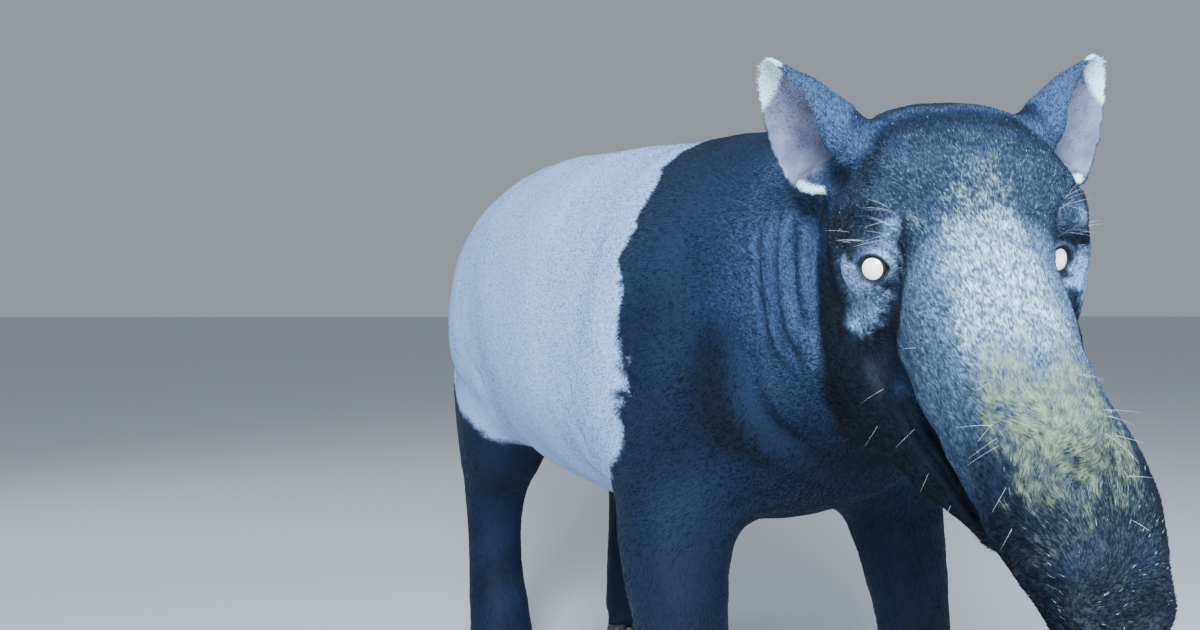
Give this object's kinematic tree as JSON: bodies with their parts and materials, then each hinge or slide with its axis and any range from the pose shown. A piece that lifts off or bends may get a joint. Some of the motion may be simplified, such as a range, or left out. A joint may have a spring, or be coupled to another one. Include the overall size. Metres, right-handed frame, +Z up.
{
  "type": "malayan tapir",
  "caption": "Life-size Malayan tapir standing on all fours with its head lowered and turned aside; a still display model of the whole animal.",
  "frame": {"origin": "on the floor under the middle of the animal's box", "axes": "+X forwards along the body to the head, +Y to the animal's left, +Z up; the hooves stand on z = 0"},
  "size_m": [1.8514, 0.556, 1.0312],
  "materials": {
    "coat_black": "short dense black hair over skin, soft sheen",
    "coat_saddle": "short dense white-grey hair over skin, matt",
    "hoof_horn": "dark horn, satin",
    "eye": "wet, pearly in a flash"
  },
  "bodies": {
    "root": {"ear_left": "coat_black", "ear_right": "coat_black", "eye_left": "eye", "eye_right": "eye", "forefoot_left": "coat_black", "forefoot_right": "coat_black", "foreleg_left": "coat_black", "foreleg_right": "coat_black", "head": "coat_black", "hindfoot_left": "coat_black", "hindfoot_right": "coat_black", "hindleg_left": "coat_black", "hindleg_right": "coat_black", "hoof_fore_left_1": "hoof_horn", "hoof_fore_left_2": "hoof_horn", "hoof_fore_left_3": "hoof_horn", "hoof_fore_left_4": "hoof_horn", "hoof_fore_right_1": "hoof_horn", "hoof_fore_right_2": "hoof_horn", "hoof_fore_right_3": "hoof_horn", "hoof_fore_right_4": "hoof_horn", "hoof_hind_left_1": "hoof_horn", "hoof_hind_left_2": "hoof_horn", "hoof_hind_left_3": "hoof_horn", "hoof_hind_right_1": "hoof_horn", "hoof_hind_right_2": "hoof_horn", "hoof_hind_right_3": "hoof_horn", "lower_jaw": "coat_black", "neck": "coat_black", "proboscis": "coat_black", "shoulders": "coat_black", "tail": "coat_black", "trunk": "coat_saddle"}
  },
  "joints": []
}
